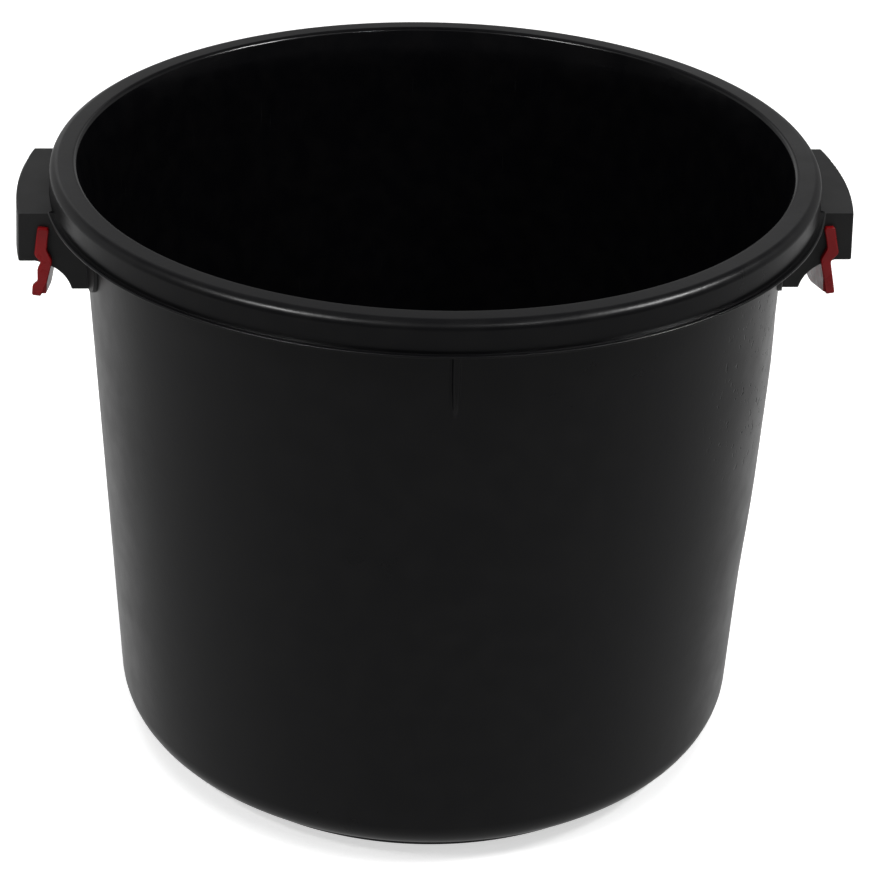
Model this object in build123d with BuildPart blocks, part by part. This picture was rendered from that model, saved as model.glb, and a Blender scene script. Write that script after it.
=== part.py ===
from build123d import *
import os
from math import radians, sqrt, tan

# Mortar mixing tub: a moulded black shell with an inverted-U rim and a foot ring, two carrying
# handles screwed up under its rim, and a red lock lever on two steel stub pins in each handle.
# Millimetres, +Z up, origin at the centre of the base, handles on -X and +X.

os.makedirs("parts", exist_ok=True)

# Shell, driving dimensions
rim_z = 443.0
base_z = 10.0
wall_thickness = 3.4
floor_thickness = 4.0
wall_foot_radius = 230.6
wall_lip_radius = 244.5
heel_radius = 26.0
foot_ring_radius = 205.0
foot_ring_width = 5.5

# Rim: a flared mouth, a flat top, a skirt with a little draft and a thin lip at its foot
mouth_radius = 246.6
mouth_flare_height = 21.0
mouth_rounding = 3.6
rim_radius = 264.7
rim_thickness = 3.4
shoulder_rounding = 6.2
skirt_draft = 0.5
lip_radius = 269.3
lip_thickness = 2.0
lip_drop = 20.2
lip_gap_half_angle = 12.2
lip_bead = 0.4

# Moulded rib on the wall below the lip, front and back
rib_width = 6.4
rib_length = 58.0
rib_height = 3.0
rib_foot_sink = 0.2

# Handle
handle_half_length = 56.5
handle_radius = 288.0
handle_draft = 2.0
handle_drop = lip_drop + lip_thickness + 0.1
handle_thickness = 4.0
grip_height = 35.2
bracket_drop = 78.0
bracket_top_x = 273.0
throat_top_x = 266.0
throat_top_drop = 2.4
throat_waist_x = 254.9
throat_waist_drop = 67.8
throat_foot_x = 250.0
grip_edge_x = 262.5
flange_thickness = 2.4
flange_half_length = 80.0
flange_rounding = 23.0
seat_gap = 0.1
edge_rounding = 1.4

# Lock lever and its pins
lever_gap = 0.3
lever_cheek = 3.4
cheek_rounding = 1.0
tongue_x = 264.8
tongue_top_gap = 3.2
tongue_side_drop = 80.0
tongue_point_drop = 99.0
tongue_thickness = 3.6
tongue_lean = 3.8
pin_radius = 2.0
pin_running_clearance = 0.05
pin_seat_clearance = 0.02
pin_cover = 1.2
pin_head_radius = 3.4
pin_head_height = 1.5
pivot_x = 267.4
pivot_drop = 39.0

# Screws that hold each handle up against the rim
screw_radius = 2.0
screw_length = 16.0
screw_seat_clearance = 0.03
screw_plate_clearance = 0.4
screw_head_radius = 4.0
screw_head_height = 2.8
screw_circle = 254.4
screw_half_spacing = 33.0
boss_radius = 5.2
recess_length = 4.4
recess_width = 0.9
recess_depth = 1.5
tip_clearance = 1.5

# Heights worked out from the drops below the rim
lip_top_z = rim_z - lip_drop
lip_foot_z = lip_top_z - lip_thickness
plate_z = rim_z - handle_drop
plate_foot_z = plate_z - handle_thickness
grip_foot_z = plate_z - grip_height
bracket_foot_z = rim_z - bracket_drop
pivot_z = rim_z - pivot_drop


def wall_radius(z):
    """Radius of the wall's outer face at a height."""
    slope = (wall_lip_radius - wall_foot_radius) / (lip_foot_z - base_z)
    return wall_foot_radius + slope * (z - base_z)


def rounded_outline(*corners):
    """Closed outline from corners given as (x, y, rounding)."""
    points = [(x, y) for x, y, _ in corners]
    return FilletPolyline(*points, radius=[r for _, _, r in corners], close=True)


# Shell
floor_top_z = base_z + floor_thickness
flare_foot_z = rim_z - mouth_flare_height
hollow_top_z = rim_z - rim_thickness
skirt_foot_radius = rim_radius + skirt_draft
ring_inner_radius = foot_ring_radius - foot_ring_width

with BuildPart() as tub_shell:
    with BuildSketch(Plane.XZ):
        with BuildLine():
            rounded_outline(
                (0, base_z, 0),
                (ring_inner_radius, base_z, 1.5),
                (ring_inner_radius, 0, 1.2),
                (foot_ring_radius, 0, 1.5),
                (foot_ring_radius, base_z, 0),
                (wall_foot_radius, base_z, heel_radius - 2.0),
                (wall_radius(flare_foot_z), flare_foot_z, 10.0),
                (mouth_radius + wall_thickness, hollow_top_z, 1.5),
                (rim_radius - rim_thickness, hollow_top_z, 1.5),
                (skirt_foot_radius - rim_thickness, lip_foot_z, 0.6),
                (lip_radius, lip_foot_z, 0.7),
                (lip_radius, lip_top_z, 1.0),
                (skirt_foot_radius, lip_top_z, 0),
                (rim_radius, rim_z, shoulder_rounding),
                (mouth_radius, rim_z, mouth_rounding),
                (wall_radius(flare_foot_z) - wall_thickness, flare_foot_z, 90.0),
                (wall_foot_radius - wall_thickness, floor_top_z, heel_radius - wall_thickness),
                (0, floor_top_z, 0),
            )
        make_face()
    revolve(axis=Axis.Z)

    # The lip is trimmed back to a bead over each handle
    gap_reach = lip_radius + 20.0
    gap_side = gap_reach * tan(radians(lip_gap_half_angle))
    with BuildSketch(Plane.XY.offset(lip_foot_z - 1.0)):
        with BuildLine():
            Polyline((0, 0), (gap_reach, gap_side), (gap_reach, -gap_side), close=True)
        make_face()
        mirror(about=Plane.YZ)
        Circle(skirt_foot_radius + lip_bead, mode=Mode.SUBTRACT)
    extrude(amount=lip_thickness + 2.0, mode=Mode.SUBTRACT)

    # Ribs: a strip standing off the wall, fading to nothing at its foot
    rib_top_z = lip_foot_z
    rib_foot_z = rib_top_z - rib_length
    rib_root = wall_lip_radius - wall_thickness / 2
    for facing in (1, -1):
        with BuildSketch(Plane.YZ.offset(-rib_width / 2)):
            with BuildLine():
                Polyline(
                    (facing * rib_root, rib_top_z),
                    (facing * (wall_radius(rib_top_z) + rib_height), rib_top_z),
                    (facing * (wall_radius(rib_foot_z) - rib_foot_sink), rib_foot_z),
                    (facing * (wall_radius(rib_foot_z) - wall_thickness / 2), rib_foot_z),
                    close=True,
                )
            make_face()
        extrude(amount=rib_width)

    # Bosses under the rim's top for the handle screws
    boss_x = sqrt(screw_circle**2 - screw_half_spacing**2)
    boss_places = GridLocations(2 * boss_x, 2 * screw_half_spacing, 2, 2)
    with BuildSketch(Plane.XY.offset(lip_foot_z)):
        with boss_places:
            Circle(boss_radius)
    extrude(amount=hollow_top_z - lip_foot_z + rim_thickness / 2)
    with BuildSketch(Plane.XY.offset(lip_foot_z)):
        with boss_places:
            Circle(screw_radius + screw_seat_clearance)
    extrude(amount=screw_length - handle_thickness + tip_clearance, mode=Mode.SUBTRACT)

# Handle: a block cut from a ring round the tub, hollowed from below, with bracket ends
inside_radius = wall_foot_radius - 20.0
outside_radius = handle_radius + 12.0
grip_foot_radius = handle_radius + handle_draft
cavity_half_length = handle_half_length - handle_thickness
bay_foot_z = bracket_foot_z - 10.0


def flange_radius(z):
    """Radius of the handle's seat against the wall at a height."""
    return wall_radius(z) + seat_gap


with BuildPart() as hand_bay:
    with BuildSketch(Plane.XZ):
        with BuildLine():
            rounded_outline(
                (flange_radius(bay_foot_z) + flange_thickness, bay_foot_z, 0),
                (flange_radius(plate_foot_z) + flange_thickness, plate_foot_z, 1.0),
                (handle_radius - handle_thickness, plate_foot_z, 3.0),
                (grip_foot_radius - handle_thickness, grip_foot_z, 0),
                (grip_foot_radius - handle_thickness, bay_foot_z, 0),
            )
        make_face()
    revolve(axis=Axis.Z)
    with BuildSketch(Plane.XY):
        with Locations((outside_radius, 0)):
            Rectangle(2 * outside_radius, 2 * cavity_half_length)
    extrude(amount=rim_z, mode=Mode.INTERSECT)

with BuildPart() as seat_flange:
    with BuildSketch(Plane.XZ):
        with BuildLine():
            Polyline(
                (flange_radius(bracket_foot_z), bracket_foot_z),
                (flange_radius(plate_z), plate_z),
                (flange_radius(plate_z) + flange_thickness, plate_z),
                (flange_radius(bracket_foot_z) + flange_thickness, bracket_foot_z),
                close=True,
            )
        make_face()
    revolve(axis=Axis.Z)
    with BuildSketch(Plane.YZ):
        with BuildLine():
            rounded_outline(
                (-flange_half_length, bracket_foot_z, flange_rounding),
                (-flange_half_length, rim_z, 0),
                (flange_half_length, rim_z, 0),
                (flange_half_length, bracket_foot_z, flange_rounding),
            )
        make_face()
    extrude(amount=outside_radius, mode=Mode.INTERSECT)

with BuildPart() as right_handle:
    with BuildSketch(Plane.XZ.offset(-handle_half_length)):
        with BuildLine():
            shoulder = Polyline(
                (inside_radius, bracket_foot_z),
                (inside_radius, plate_z),
                (outside_radius, plate_z),
                (outside_radius, grip_foot_z),
                (bracket_top_x, grip_foot_z),
                (throat_top_x, grip_foot_z - throat_top_drop),
            )
            throat_waist = (throat_waist_x, rim_z - throat_waist_drop)
            throat = ThreePointArc(shoulder @ 1, throat_waist, (throat_foot_x, bracket_foot_z))
            Line(throat @ 1, shoulder @ 0)
        make_face()
    extrude(amount=2 * handle_half_length)

    with BuildSketch(Plane.XZ):
        with BuildLine():
            Polyline(
                (flange_radius(bracket_foot_z), bracket_foot_z),
                (flange_radius(plate_z), plate_z),
                (handle_radius, plate_z),
                (grip_foot_radius, grip_foot_z),
                (grip_foot_radius, bracket_foot_z),
                close=True,
            )
        make_face()
    revolve(axis=Axis.Z, mode=Mode.INTERSECT)

    grip_edges = right_handle.edges().filter_by(
        lambda edge: edge.center().X > grip_edge_x and edge.center().Z > grip_foot_z - 3.0
    )
    fillet(grip_edges, radius=edge_rounding)
    add(hand_bay.part, mode=Mode.SUBTRACT)
    add(seat_flange.part)

    with BuildSketch(Plane.XY.offset(plate_foot_z - 1.0)):
        with Locations((boss_x, 0)):
            with GridLocations(0, 2 * screw_half_spacing, 1, 2):
                Circle(screw_radius + screw_plate_clearance)
    extrude(amount=handle_thickness + 2.0, mode=Mode.SUBTRACT)

    with BuildSketch(Plane.XZ.offset(-outside_radius)):
        with Locations((pivot_x, pivot_z)):
            Circle(pin_radius + pin_running_clearance)
    extrude(amount=2 * outside_radius, mode=Mode.SUBTRACT)

# Lever: two S-shaped cheeks outside the handle's ends, joined under the grip by a tongue with a
# pointed lower edge. The front cheek's tail is straight, the back one's has a thumb pad
cheek_inside = handle_half_length + lever_gap
cheek_half_width = cheek_inside + lever_cheek
tongue_top_z = grip_foot_z - tongue_top_gap
tongue_side_z = rim_z - tongue_side_drop
tongue_point_z = rim_z - tongue_point_drop

with BuildPart() as tongue:
    with BuildSketch(Plane.XZ.offset(-cheek_inside - lever_cheek / 2)):
        with BuildLine():
            rounded_outline(
                (tongue_x, tongue_top_z, 1.0),
                (tongue_x + tongue_thickness, tongue_top_z, 1.0),
                (tongue_x + tongue_thickness + tongue_lean, tongue_point_z, 0),
                (tongue_x + tongue_lean, tongue_point_z, 0),
            )
        make_face()
    extrude(amount=2 * cheek_inside + lever_cheek)
    with BuildSketch(Plane.YZ.offset(inside_radius)):
        with BuildLine():
            rounded_outline(
                (-outside_radius, rim_z, 0),
                (outside_radius, rim_z, 0),
                (outside_radius, tongue_side_z, 0),
                (cheek_half_width, tongue_side_z, 0),
                (0, tongue_point_z, 60.0),
                (-cheek_half_width, tongue_side_z, 0),
                (-outside_radius, tongue_side_z, 0),
            )
        make_face()
    extrude(amount=outside_radius, mode=Mode.INTERSECT)
    fillet(tongue.faces().sort_by(Axis.Z)[0].edges(), radius=1.0)

with BuildPart() as right_lock_lever:
    with BuildSketch(Plane.XZ.offset(cheek_inside)):
        with BuildLine():
            rounded_outline(
                (262.5, rim_z - 31.8, 1.8),
                (266.3, rim_z - 47.0, 5.0),
                (262.3, rim_z - 56.0, 6.0),
                (268.6, rim_z - 81.9, 1.4),
                (274.9, rim_z - 81.0, 1.4),
                (269.6, rim_z - 56.8, 4.0),
                (274.6, rim_z - 51.0, 4.0),
                (269.9, rim_z - 31.3, 1.8),
            )
        make_face()
    extrude(amount=lever_cheek)
    with BuildSketch(Plane.XZ.offset(-cheek_half_width)):
        with BuildLine():
            rounded_outline(
                (262.3, rim_z - 32.0, 1.8),
                (264.7, rim_z - 47.6, 5.0),
                (261.4, rim_z - 55.8, 6.0),
                (266.0, rim_z - 72.5, 12.0),
                (270.6, rim_z - 82.0, 1.4),
                (276.6, rim_z - 81.2, 1.4),
                (275.8, rim_z - 74.2, 2.5),
                (272.2, rim_z - 71.0, 3.0),
                (271.8, rim_z - 62.0, 4.0),
                (269.2, rim_z - 56.6, 2.5),
                (273.3, rim_z - 51.5, 4.0),
                (270.1, rim_z - 31.3, 1.8),
            )
        make_face()
    extrude(amount=lever_cheek)
    for side in (0, -1):
        fillet(right_lock_lever.faces().sort_by(Axis.Y)[side].edges(), radius=cheek_rounding)
    add(tongue.part)
    with BuildSketch(Plane.XZ.offset(-(cheek_half_width - pin_cover))):
        with Locations((pivot_x, pivot_z)):
            Circle(pin_radius + pin_seat_clearance)
    extrude(amount=2 * (cheek_half_width - pin_cover), mode=Mode.SUBTRACT)

# Pins: headed steel stubs, pushed out through the handle's ends and pressed into the cheeks
pin_tip = cheek_half_width - pin_cover - 0.1
pin_head_top = cavity_half_length - 0.1
pin_head_foot = pin_head_top - pin_head_height

with BuildPart() as right_hinge_pins:
    with BuildSketch(Plane((pivot_x, 0, pivot_z), x_dir=(0, 1, 0), z_dir=(1, 0, 0))):
        with BuildLine():
            rounded_outline(
                (pin_head_foot, 0, 0),
                (pin_head_foot, pin_head_radius, 0.6),
                (pin_head_top, pin_head_radius, 0.2),
                (pin_head_top, pin_radius, 0),
                (pin_tip, pin_radius, 0.5),
                (pin_tip, 0, 0),
            )
        make_face()
    revolve(axis=Axis((pivot_x, 0, pivot_z), (0, 1, 0)))
    mirror(about=Plane.XZ)

# Screws: four pan heads with a cross recess, driven up through the handles into the bosses
head_foot_z = plate_foot_z - screw_head_height

with BuildPart() as handle_screws:
    for x in (-boss_x, boss_x):
        for y in (-screw_half_spacing, screw_half_spacing):
            with BuildSketch(Plane((x, y, 0), x_dir=(1, 0, 0), z_dir=(0, -1, 0))):
                with BuildLine():
                    rounded_outline(
                        (0, head_foot_z, 0),
                        (screw_head_radius, head_foot_z, 1.6),
                        (screw_head_radius, plate_foot_z, 0),
                        (screw_radius, plate_foot_z, 0),
                        (screw_radius, plate_foot_z + screw_length - tip_clearance, 0),
                        (0, plate_foot_z + screw_length, 0),
                    )
                make_face()
            revolve(axis=Axis((x, y, 0), (0, 0, 1)))
            with BuildSketch(Plane((x, y, head_foot_z))):
                Rectangle(recess_length, recess_width)
                Rectangle(recess_width, recess_length)
            extrude(amount=recess_depth, mode=Mode.SUBTRACT)

# Left side: the right side's pieces turned half round
with BuildPart() as left_handle:
    add(right_handle.part, rotation=(0, 0, 180))
with BuildPart() as left_lock_lever:
    add(right_lock_lever.part, rotation=(0, 0, 180))
with BuildPart() as left_hinge_pins:
    add(right_hinge_pins.part, rotation=(0, 0, 180))

tub_shell.part.label = "tub_shell"
export_step(tub_shell.part, "parts/tub_shell.step")
left_handle.part.label = "left_handle"
export_step(left_handle.part, "parts/left_handle.step")
right_handle.part.label = "right_handle"
export_step(right_handle.part, "parts/right_handle.step")
left_lock_lever.part.label = "left_lock_lever"
export_step(left_lock_lever.part, "parts/left_lock_lever.step")
right_lock_lever.part.label = "right_lock_lever"
export_step(right_lock_lever.part, "parts/right_lock_lever.step")
left_hinge_pins.part.label = "left_hinge_pins"
export_step(left_hinge_pins.part, "parts/left_hinge_pins.step")
right_hinge_pins.part.label = "right_hinge_pins"
export_step(right_hinge_pins.part, "parts/right_hinge_pins.step")
handle_screws.part.label = "handle_screws"
export_step(handle_screws.part, "parts/handle_screws.step")
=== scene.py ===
from math import cos, pi, radians, sin, tan

import bpy
from mathutils import Matrix, Vector


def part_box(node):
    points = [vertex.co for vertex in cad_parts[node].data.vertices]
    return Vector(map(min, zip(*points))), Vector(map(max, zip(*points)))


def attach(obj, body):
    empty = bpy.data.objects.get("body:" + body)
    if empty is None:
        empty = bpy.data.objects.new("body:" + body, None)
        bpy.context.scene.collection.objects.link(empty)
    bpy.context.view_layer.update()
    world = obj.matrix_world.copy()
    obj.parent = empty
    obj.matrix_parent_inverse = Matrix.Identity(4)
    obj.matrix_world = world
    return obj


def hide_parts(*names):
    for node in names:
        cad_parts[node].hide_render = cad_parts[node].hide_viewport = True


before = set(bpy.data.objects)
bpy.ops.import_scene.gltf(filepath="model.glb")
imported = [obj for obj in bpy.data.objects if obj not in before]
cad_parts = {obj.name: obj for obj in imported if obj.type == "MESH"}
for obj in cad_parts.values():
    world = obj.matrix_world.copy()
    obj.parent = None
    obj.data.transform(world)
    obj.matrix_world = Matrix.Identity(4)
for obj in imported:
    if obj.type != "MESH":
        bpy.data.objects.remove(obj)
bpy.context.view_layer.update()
SCENE = bpy.context.scene

# The shell's section, in metres, hung on the frame's own box. The lip's ledge is dished by LIP_GROOVE
_, SHELL_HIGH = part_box("tub_shell")
RIM_Z = SHELL_HIGH.z
LIP_RADIUS = SHELL_HIGH.y
BASE_Z = 0.010
FLOOR_THICKNESS = 0.004
WALL = 0.0034
WALL_FOOT_RADIUS = 0.2306
WALL_LIP_RADIUS = 0.2445
HEEL_RADIUS = 0.029
FOOT_RING_RADIUS = 0.205
FOOT_RING_WIDTH = 0.0055
MOUTH_RADIUS = 0.2466
MOUTH_FLARE = 0.021
MOUTH_ROUNDING = 0.0036
FLARE_ROUNDING = 0.090
RIM_RADIUS = 0.2647
SKIRT_RADIUS = 0.2652
SHOULDER_ROUNDING = 0.0062
LIP_TOP_Z = RIM_Z - 0.0202
LIP_FOOT_Z = LIP_TOP_Z - 0.002
LIP_GROOVE = 0.0012
LIP_BEAD = 0.0004
LIP_GAP_HALF_ANGLE = radians(12.2)
LIP_GAP_RUN = radians(0.25)

# The moulded rib on the wall, front and back
RIB_LENGTH = 0.058
RIB_WIDTH = 0.0064
RIB_HEIGHT = 0.0016
RIB_FLANK = 0.0016
RIB_STEPS = 36
RIB_FADE_START = 0.75
RIB_NARROWING = 0.7
GROOVE_DEPTH = 0.0006
GROOVE_HALF_WIDTH = 0.0020

# The wall stands a little out of round on the right, below the handle
BULGE = 0.0026
BULGE_HALF_ANGLE = radians(50)
BULGE_DROPS = (0.080, 0.150, 0.230, 0.330)

# The middle of the scuffed patch at the right, as (distance round the wall, 0, height)
SCUFFED_SPOT = (-0.107, 0.0, 0.328)

# Screw bosses under the rim
BOSS_RADIUS = 0.0052
BOSS_BORE = 0.0021
BOSS_EMBEDDED = 0.001
SCREW_HEAD_RADIUS = 0.004

# Camera: a little left of square on, about 1.77 m from its target and looking down on it
CAMERA_PLACE = Vector((-0.0997, -1.5376, 1.0846))
CAMERA_TARGET = Vector((0.0066, -0.0004, 0.2175))
CAMERA_ROLL = radians(1.6)
CAMERA_LENS = 99.3
CAMERA_SENSOR = 36.0
CAMERA_SHIFT_X = -0.0037


# Meshes ---------------------------------------------------------------------------------------

def rounded_section(corners, turn_step=radians(8), straight_step=0.02):
    """Points along an outline given as (x, y, rounding), with an arc at each rounded corner."""
    points = []

    def run_to(point):
        """A straight run, divided so that its faces stay compact."""
        if points:
            start = points[-1]
            parts = int((point - start).length / straight_step) + 1
            points.extend(start.lerp(point, i / parts) for i in range(1, parts))
        points.append(point)

    for i, (x, y, rounding) in enumerate(corners):
        corner = Vector((x, y))
        if rounding == 0:
            run_to(corner)
            continue
        before = (Vector(corners[i - 1][:2]) - corner).normalized()
        after = (Vector(corners[i + 1][:2]) - corner).normalized()
        half = before.angle(after) / 2
        centre = corner + (before + after).normalized() * (rounding / sin(half))
        run_to(corner + before * (rounding / tan(half)))
        spoke = points[-1] - centre
        turn = (pi - 2 * half) * (1 if before.cross(after) < 0 else -1)
        steps = max(2, round(abs(turn) / turn_step))
        for k in range(1, steps + 1):
            points.append(centre + Matrix.Rotation(turn * k / steps, 2) @ spoke)
    return points


def new_piece(name, verts, faces, material, smooth=True):
    """A mesh object with shading weighted towards its large faces."""
    mesh = bpy.data.meshes.new(name)
    mesh.from_pydata(verts, [], faces)
    mesh.polygons.foreach_set("use_smooth", [smooth] * len(mesh.polygons))
    mesh.materials.append(material)
    mesh.update()
    piece = bpy.data.objects.new(name, mesh)
    SCENE.collection.objects.link(piece)
    if smooth:
        weighted = piece.modifiers.new("weighted", "WEIGHTED_NORMAL")
        weighted.keep_sharp = False
        weighted.weight = 90
    return piece


def lathe(name, section, angles, material, centre=(0, 0), closed=False, shape=None):
    """Turns a section of (radius, height) points about a vertical line. shape may move a point."""
    verts, rings = [], []
    for radius, height in section:
        if radius < 1e-7:
            rings.append([len(verts)] * len(angles))
            verts.append((centre[0], centre[1], height))
            continue
        rings.append(list(range(len(verts), len(verts) + len(angles))))
        for angle in angles:
            r = radius + (shape(radius, angle, height) if shape else 0)
            verts.append((centre[0] + r * cos(angle), centre[1] + r * sin(angle), height))
    faces = []
    pairs = list(zip(rings, rings[1:]))
    if closed:
        pairs.append((rings[-1], rings[0]))
    for low, high in pairs:
        for i in range(len(angles)):
            j = (i + 1) % len(angles)
            corners = [low[i], low[j], high[j], high[i]]
            face = [v for k, v in enumerate(corners) if v != corners[k - 1]]
            if len(face) > 2:
                faces.append(face)
    return new_piece(name, verts, faces, material)


def smooth_step(value, low, high):
    """0 below low, 1 above high, and a smooth rise between them."""
    share = min(1.0, max(0.0, (value - low) / (high - low)))
    return share * share * (3 - 2 * share)


def wall_radius(z):
    """Radius of the wall's outer face at a height."""
    slope = (WALL_LIP_RADIUS - WALL_FOOT_RADIUS) / (LIP_FOOT_Z - BASE_Z)
    return WALL_FOOT_RADIUS + slope * (z - BASE_Z)


def shell_section():
    """From the middle of the underside, out and up the wall, round the rim, to the inner floor."""
    flare_z = RIM_Z - MOUTH_FLARE
    ring_inside = FOOT_RING_RADIUS - FOOT_RING_WIDTH
    rib_heights = [LIP_FOOT_Z - RIB_LENGTH * (1 - k / RIB_STEPS) for k in range(RIB_STEPS)]
    return rounded_section([
        (0, BASE_Z, 0),
        (ring_inside, BASE_Z, 0.0015),
        (ring_inside, 0, 0.0012),
        (FOOT_RING_RADIUS, 0, 0.0015),
        (FOOT_RING_RADIUS, BASE_Z, 0),
        (WALL_FOOT_RADIUS, BASE_Z, HEEL_RADIUS - 0.002),
        *[(wall_radius(z), z, 0) for z in rib_heights],
        (wall_radius(flare_z), flare_z, 0.010),
        (MOUTH_RADIUS + WALL, RIM_Z - WALL, 0.0015),
        (RIM_RADIUS - WALL, RIM_Z - WALL, 0.0015),
        (SKIRT_RADIUS - WALL, LIP_FOOT_Z, 0.0006),
        (LIP_RADIUS, LIP_FOOT_Z, 0.0007),
        (LIP_RADIUS, LIP_TOP_Z, 0.0008),
        (SKIRT_RADIUS, LIP_TOP_Z - LIP_GROOVE, 0),
        (SKIRT_RADIUS, LIP_TOP_Z - LIP_GROOVE / 2, 0),
        (RIM_RADIUS, RIM_Z, SHOULDER_ROUNDING),
        (MOUTH_RADIUS, RIM_Z, MOUTH_ROUNDING),
        (wall_radius(flare_z) - WALL, flare_z, FLARE_ROUNDING),
        (WALL_FOOT_RADIUS - WALL, BASE_Z + FLOOR_THICKNESS, HEEL_RADIUS - WALL),
        (0, BASE_Z + FLOOR_THICKNESS, 0),
    ])


def side_turn(angle, side):
    """The turn from one of the tub's sides to an angle, between -pi and pi."""
    return (angle - side + pi) % (2 * pi) - pi


def rib_relief(radius, angle, z):
    """How far the wall stands out at a moulded rib, and in at the groove beside it."""
    if abs(radius - wall_radius(z)) > 0.0006 or not LIP_FOOT_Z - RIB_LENGTH < z < LIP_FOOT_Z + 0.002:
        return 0
    down = (LIP_FOOT_Z - z) / RIB_LENGTH
    across = min((radius * side_turn(angle, side) for side in (pi / 2, 3 * pi / 2)), key=abs)
    fade = 1 - smooth_step(down, RIB_FADE_START, 1.0)
    half_width = RIB_WIDTH / 2 * (1 - RIB_NARROWING * max(0.0, down) ** 4)
    rise = 1 - smooth_step(abs(across), half_width - RIB_FLANK, half_width)
    groove = 1 - smooth_step(abs(across + half_width), 0, GROOVE_HALF_WIDTH)
    return (RIB_HEIGHT * rise - GROOVE_DEPTH * groove) * fade


def lip_trim(radius, angle):
    """How far the lip is cut back to a bead over each handle."""
    bead = SKIRT_RADIUS + LIP_BEAD
    turn = min(abs(side_turn(angle, 0)), abs(side_turn(angle, pi)))
    gap_end = LIP_GAP_HALF_ANGLE + LIP_GAP_RUN
    if radius <= bead or turn > gap_end:
        return 0
    return (bead - radius) * (1 - smooth_step(turn, LIP_GAP_HALF_ANGLE, gap_end))


def wall_bulge(angle, z):
    """How far the wall stands out of round below the right handle."""
    top, full, ebb, foot = BULGE_DROPS
    down = RIM_Z - z
    along = smooth_step(down, top, full) * (1 - smooth_step(down, ebb, foot))
    return BULGE * along * (1 - smooth_step(abs(side_turn(angle, 0)), 0, BULGE_HALF_ANGLE))


def shell_relief(radius, angle, z):
    """How far the shell stands out from its turned shape at a place."""
    return rib_relief(radius, angle, z) + lip_trim(radius, angle) + wall_bulge(angle, z)


def shell_angles():
    """Even steps round the tub, with closer ones across the two ribs and the lip's four ends."""
    rib_step = 0.0003 / WALL_LIP_RADIUS
    end_step = LIP_GAP_RUN / 3
    fine = [(side, rib_step, 18) for side in (pi / 2, 3 * pi / 2)]
    middle = LIP_GAP_HALF_ANGLE + LIP_GAP_RUN / 2
    fine += [(side + sign * middle, end_step, 3) for side in (0, pi) for sign in (1, -1)]
    angles = even_angles(480)
    for centre, step, reach in fine:
        angles = [a for a in angles if abs(side_turn(a, centre)) > (reach + 1) * step]
        angles += [(centre + k * step) % (2 * pi) for k in range(-reach, reach + 1)]
    return sorted(angles)


def even_angles(count):
    """Equal steps round a full circle."""
    return [2 * pi * k / count for k in range(count)]


# Materials ------------------------------------------------------------------------------------

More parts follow.
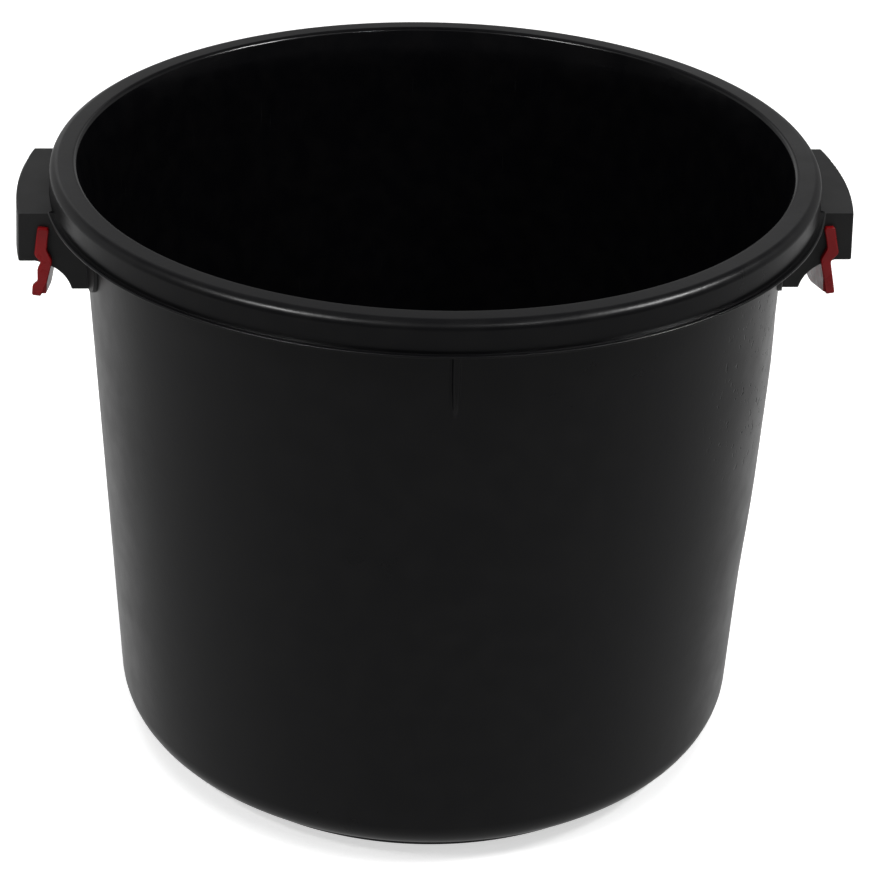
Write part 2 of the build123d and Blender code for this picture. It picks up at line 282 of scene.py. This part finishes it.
class Shader:
    """A material's node tree, with one short call for each kind of node."""

    def __init__(self, name):
        self.material = bpy.data.materials.new(name)
        self.material.use_nodes = True
        self.tree = self.material.node_tree
        self.surface = self.tree.nodes["Principled BSDF"]
        self.place = self.node("ShaderNodeTexCoord").outputs["Object"]

    def node(self, kind, **settings):
        made = self.tree.nodes.new(kind)
        for key, value in settings.items():
            setattr(made, key, value)
        return made

    def join(self, value, socket):
        """Links an output to an input, or sets the input to a plain value."""
        if isinstance(value, bpy.types.NodeSocket):
            self.tree.links.new(value, socket)
        else:
            socket.default_value = value

    def math(self, operation, a, b=0.0, clamp=False):
        made = self.node("ShaderNodeMath", operation=operation, use_clamp=clamp)
        self.join(a, made.inputs[0])
        self.join(b, made.inputs[1])
        return made.outputs[0]

    def scaled(self, x, y, z, place=None):
        made = self.node("ShaderNodeMapping")
        self.join(place or self.place, made.inputs["Vector"])
        made.inputs["Scale"].default_value = (x, y, z)
        return made.outputs[0]

    def noise(self, scale, detail=3.0, roughness=0.5, place=None, distortion=0.0):
        made = self.node("ShaderNodeTexNoise")
        self.join(place or self.place, made.inputs["Vector"])
        made.inputs["Scale"].default_value = scale
        made.inputs["Detail"].default_value = detail
        made.inputs["Roughness"].default_value = roughness
        made.inputs["Distortion"].default_value = distortion
        return made.outputs["Fac"]

    def spread(self, value, low, high, to_low=0.0, to_high=1.0):
        """Maps low..high to to_low..to_high, smoothly and clamped."""
        made = self.node("ShaderNodeMapRange", interpolation_type="SMOOTHSTEP")
        self.join(value, made.inputs["Value"])
        made.inputs["From Min"].default_value = low
        made.inputs["From Max"].default_value = high
        made.inputs["To Min"].default_value = to_low
        made.inputs["To Max"].default_value = to_high
        return made.outputs["Result"]

    def blend(self, share, first, second):
        made = self.node("ShaderNodeMix", data_type="RGBA")
        self.join(share, made.inputs["Factor"])
        for socket, colour in (("A", first), ("B", second)):
            found = [s for s in made.inputs if s.name == socket and s.type == "RGBA"][0]
            self.join(colour if isinstance(colour, bpy.types.NodeSocket) else (*colour, 1), found)
        return [s for s in made.outputs if s.type == "RGBA"][0]

    def bump(self, height, distance, below=None, strength=1.0):
        made = self.node("ShaderNodeBump")
        made.inputs["Distance"].default_value = distance
        made.inputs["Strength"].default_value = strength
        self.join(height, made.inputs["Height"])
        if below is not None:
            self.join(below, made.inputs["Normal"])
        return made.outputs["Normal"]

    def unrolled(self):
        """Places on the tub as (distance round it, 0, height), so that marks follow the wall."""
        parts = self.node("ShaderNodeSeparateXYZ")
        self.join(self.place, parts.inputs[0])
        round_it = self.math("ARCTAN2", parts.outputs["Y"], parts.outputs["X"])
        flat = self.node("ShaderNodeCombineXYZ")
        self.join(self.math("MULTIPLY", round_it, WALL_LIP_RADIUS), flat.inputs["X"])
        self.join(parts.outputs["Z"], flat.inputs["Z"])
        return flat.outputs[0]

    def outwardness(self):
        """Positive on faces turned away from the tub's middle line, negative on inner ones."""
        facing = self.node("ShaderNodeVectorMath", operation="DOT_PRODUCT")
        self.join(self.scaled(1, 1, 0), facing.inputs[0])
        self.join(self.node("ShaderNodeTexCoord").outputs["Normal"], facing.inputs[1])
        return facing.outputs["Value"]

    def near(self, spot, place, reach, core):
        """1 within core of a spot, falling to 0 at reach."""
        gap = self.node("ShaderNodeVectorMath", operation="DISTANCE")
        self.join(place, gap.inputs[0])
        gap.inputs[1].default_value = spot
        return self.spread(gap.outputs["Value"], core, reach, 1.0, 0.0)

    def finish(self, colour, roughness, normal, **others):
        self.join(colour, self.surface.inputs["Base Color"])
        self.join(roughness, self.surface.inputs["Roughness"])
        self.join(normal, self.surface.inputs["Normal"])
        for name, value in others.items():
            self.surface.inputs[name.replace("_", " ")].default_value = value
        return self.material


def shell_plastic():
    """Black polyethylene: satin, faintly uneven, with hair scratches and a patch of small dents."""
    s = Shader("shell_plastic")
    wall = s.unrolled()
    broad = s.noise(9.0, 2.0)
    mottle = s.noise(60.0, 4.0)
    hairs = s.noise(1.0, 3.0, 0.6, s.scaled(900, 1, 14, wall))
    hair_patch = s.noise(7.0, 2.0, 0.5, wall)
    scratches = s.math("MULTIPLY", s.spread(hairs, 0.66, 0.74), s.spread(hair_patch, 0.52, 0.66))
    nicks = s.noise(1.0, 2.0, 0.5, s.scaled(200, 1, 150, wall), 0.4)
    outward = s.outwardness()
    dents = s.math("MULTIPLY", s.spread(nicks, 0.62, 0.72), s.near(SCUFFED_SPOT, wall, 0.095, 0.035))
    dents = s.math("MULTIPLY", dents, s.spread(outward, 0.08, 0.16))
    colour = s.blend(s.spread(mottle, 0.35, 0.7), (0.0019, 0.0019, 0.0024), (0.0028, 0.0027, 0.0031))
    colour = s.blend(s.math("MULTIPLY", scratches, 0.35), colour, (0.03, 0.03, 0.03))
    roughness = s.math("ADD", s.spread(broad, 0.3, 0.7, 0.27, 0.33), s.spread(mottle, 0.3, 0.7, 0.0, 0.04))
    roughness = s.math("ADD", roughness, s.math("MULTIPLY", scratches, 0.12))
    roughness = s.math("SUBTRACT", roughness, s.spread(outward, -0.10, -0.02, 0.14, 0.0))
    normal = s.bump(s.noise(2200.0, 2.0), 0.000012)
    normal = s.bump(s.noise(260.0, 2.0), 0.00004, normal)
    normal = s.bump(scratches, -0.00002, normal)
    normal = s.bump(dents, -0.0006, normal)
    return s.finish(colour, roughness, normal, IOR=1.5)


def handle_plastic():
    """Black moulded plastic with a fine spark-eroded grain."""
    s = Shader("handle_plastic")
    grain = s.noise(1500.0, 3.0, 0.6)
    broad = s.noise(30.0, 2.0)
    colour = s.blend(s.spread(broad, 0.3, 0.7), (0.0080, 0.0080, 0.0083), (0.0105, 0.0105, 0.0108))
    roughness = s.spread(broad, 0.3, 0.7, 0.42, 0.5)
    normal = s.bump(grain, 0.00005)
    return s.finish(colour, roughness, normal, IOR=1.5)


def lever_plastic():
    """Deep red moulded plastic, its tone and gloss varying a little."""
    s = Shader("lever_plastic")
    broad = s.noise(45.0, 3.0)
    colour = s.blend(s.spread(broad, 0.3, 0.7), (0.145, 0.0018, 0.0030), (0.195, 0.0028, 0.0044))
    roughness = s.spread(s.noise(120.0, 2.0), 0.3, 0.7, 0.26, 0.34)
    normal = s.bump(s.noise(1800.0, 2.0), 0.00002)
    return s.finish(colour, roughness, normal, IOR=1.36)


def steel(name, shade, roughness):
    """Plated steel with fine drawing marks."""
    s = Shader(name)
    marks = s.noise(1.0, 2.0, 0.5, s.scaled(2600, 60, 2600))
    colour = s.blend(s.noise(400.0), (shade, shade, shade), (shade * 0.8, shade * 0.8, shade * 0.78))
    rough = s.spread(marks, 0.3, 0.7, roughness, roughness + 0.12)
    return s.finish(colour, rough, s.bump(marks, 0.00001), Metallic=1.0)


def floor_material():
    s = Shader("studio_floor")
    colour = s.blend(s.noise(3.0), (0.86, 0.86, 0.86), (0.89, 0.89, 0.89))
    s.surface.inputs["Emission Color"].default_value = (1, 1, 1, 1)
    return s.finish(colour, 0.6, s.bump(s.noise(300.0), 0.0001), Emission_Strength=0.6)


# The tub --------------------------------------------------------------------------------------

PLASTIC = shell_plastic()
NODE_MATERIALS = {
    "left_handle": handle_plastic(),
    "left_lock_lever": lever_plastic(),
    "left_hinge_pins": steel("pin_steel", 0.55, 0.3),
    "handle_screws": steel("screw_steel", 0.6, 0.35),
}
NODE_MATERIALS["right_handle"] = NODE_MATERIALS["left_handle"]
NODE_MATERIALS["right_lock_lever"] = NODE_MATERIALS["left_lock_lever"]
NODE_MATERIALS["right_hinge_pins"] = NODE_MATERIALS["left_hinge_pins"]


def make_shell():
    shell = lathe("tub_shell_moulding", shell_section(), shell_angles(), PLASTIC, shape=shell_relief)
    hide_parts("tub_shell")
    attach(shell, "tub")


def make_bosses():
    """The tubes under the rim's top that the handle screws bite into."""
    _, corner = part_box("handle_screws")
    reach = corner.x - SCREW_HEAD_RADIUS
    row = corner.y - SCREW_HEAD_RADIUS
    foot_z = LIP_FOOT_Z + 0.0002
    top_z = RIM_Z - WALL + BOSS_EMBEDDED
    section = [(BOSS_BORE, top_z)] + rounded_section([
        (BOSS_BORE, foot_z, 0.0002),
        (BOSS_RADIUS, foot_z, 0.0005),
        (BOSS_RADIUS, top_z, 0),
    ])
    for i, (x, y) in enumerate(((reach, row), (reach, -row), (-reach, row), (-reach, -row))):
        boss = lathe(f"screw_boss_{i + 1}", section, even_angles(32), PLASTIC, (x, y), closed=True)
        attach(boss, "tub")


def finish_cad_nodes():
    for name, material in NODE_MATERIALS.items():
        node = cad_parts[name]
        node.data.materials.clear()
        node.data.materials.append(material)


# Studio ---------------------------------------------------------------------------------------

def make_floor():
    size = 30.0
    corners = [(-size, -size, 0), (size, -size, 0), (size, size, 0), (-size, size, 0)]
    floor = new_piece("studio_floor", corners, [(0, 1, 2, 3)], floor_material(), smooth=False)
    floor.visible_glossy = False


def make_world():
    """A grey studio: paler behind and beside the tub, dark overhead and above the camera."""
    world = bpy.data.worlds.new("studio")
    world.use_nodes = True
    SCENE.world = world
    tree = world.node_tree
    nodes, links = tree.nodes, tree.links
    parts = nodes.new("ShaderNodeSeparateXYZ")
    links.new(nodes.new("ShaderNodeTexCoord").outputs["Generated"], parts.inputs[0])
    across, ahead, height = parts.outputs

    def ramp(source, low, high, to_low, to_high):
        made = nodes.new("ShaderNodeMapRange")
        made.interpolation_type = "SMOOTHSTEP"
        links.new(source, made.inputs["Value"])
        for name, value in zip(("From Min", "From Max", "To Min", "To Max"), (low, high, to_low, to_high)):
            made.inputs[name].default_value = value
        return made.outputs["Result"]

    def combined(operation, a, b):
        made = nodes.new("ShaderNodeMath")
        made.operation = operation
        for value, socket in zip((a, b), made.inputs):
            if isinstance(value, bpy.types.NodeSocket):
                links.new(value, socket)
            else:
                socket.default_value = value
        return made.outputs[0]

    def mixed(share, first, second):
        made = nodes.new("ShaderNodeMix")
        links.new(share, made.inputs["Factor"])
        for value, name in ((first, "A"), (second, "B")):
            if isinstance(value, bpy.types.NodeSocket):
                links.new(value, made.inputs[name])
            else:
                made.inputs[name].default_value = value
        return made.outputs["Result"]

    aside = combined("ABSOLUTE", across, 0)
    far_sides = combined("MULTIPLY", ramp(ahead, 0.3, 1.15, 0.0, 0.6), ramp(aside, 0.0, 0.12, 0.25, 1.0))
    below = combined("ADD", ramp(ahead, -1.1, 1.0, 0.15, 0.34), far_sides)
    behind = combined("ADD", ramp(aside, 0.07, 0.20, 0.23, 0.42), ramp(across, -0.14, -0.02, 0.15, 0.0))
    behind = combined("MULTIPLY", behind, ramp(height, 0.42, 0.60, 1.0, 0.3))
    behind = combined("MULTIPLY", behind, ramp(aside, 0.26, 0.42, 1.0, 0.5))
    band = combined("MULTIPLY", ramp(height, 0.58, 0.66, 0.0, 1.0), ramp(height, 0.72, 0.80, 1.0, 0.0))
    before = combined("MULTIPLY_ADD", band, ramp(aside, 0.15, 0.5, 0.30, 0.8))
    before.node.inputs[2].default_value = 0.035
    above = mixed(ramp(ahead, -0.35, 0.35, 0.0, 1.0), before, behind)
    studio = mixed(ramp(height, -0.35, -0.15, 0.0, 1.0), below, above)
    camera_rays = nodes.new("ShaderNodeLightPath").outputs["Is Camera Ray"]
    links.new(mixed(camera_rays, studio, 0.97), nodes["Background"].inputs["Strength"])
    nodes["Background"].inputs["Color"].default_value = (1, 1, 1, 1)


def area_light(name, azimuth, elevation, distance, size, power, glossy=True):
    """A soft lamp aimed at the tub. Azimuth 0 is the camera's side, and 90 the tub's right."""
    a, e = radians(azimuth), radians(elevation)
    data = bpy.data.lights.new(name, "AREA")
    data.shape = "RECTANGLE"
    data.size, data.size_y = size
    data.energy = power
    lamp = bpy.data.objects.new(name, data)
    SCENE.collection.objects.link(lamp)
    aim = Vector((0, 0, 0.25))
    lamp.location = aim + distance * Vector((sin(a) * cos(e), -cos(a) * cos(e), sin(e)))
    lamp.rotation_euler = (lamp.location - aim).to_track_quat("Z", "Y").to_euler()
    lamp.visible_glossy = glossy
    return lamp


def make_lights():
    area_light("overhead_softbox", 0, 90, 2.6, (2.6, 2.6), 75, glossy=False)
    area_light("left_lamp", -50, 43, 2.2, (0.60, 0.14), 11)
    area_light("right_lamp", 72, 43, 2.2, (0.60, 0.14), 18)
    area_light("front_glint", 24, 43, 2.2, (0.05, 0.05), 1.5)


def make_camera():
    data = bpy.data.cameras.new("camera")
    data.lens = CAMERA_LENS
    data.sensor_width = CAMERA_SENSOR
    data.shift_x = CAMERA_SHIFT_X
    camera = bpy.data.objects.new("camera", data)
    SCENE.collection.objects.link(camera)
    back = (CAMERA_PLACE - CAMERA_TARGET).normalized()
    level = Vector((0, 0, 1)).cross(back).normalized()
    upright = back.cross(level)
    right = level * cos(CAMERA_ROLL) + upright * sin(CAMERA_ROLL)
    up = upright * cos(CAMERA_ROLL) - level * sin(CAMERA_ROLL)
    camera.matrix_world = Matrix.Translation(CAMERA_PLACE) @ Matrix((right, up, back)).transposed().to_4x4()
    SCENE.camera = camera


make_shell()
make_bosses()
finish_cad_nodes()
make_floor()
make_world()
make_lights()
make_camera()
SCENE.view_settings.view_transform = "Standard"
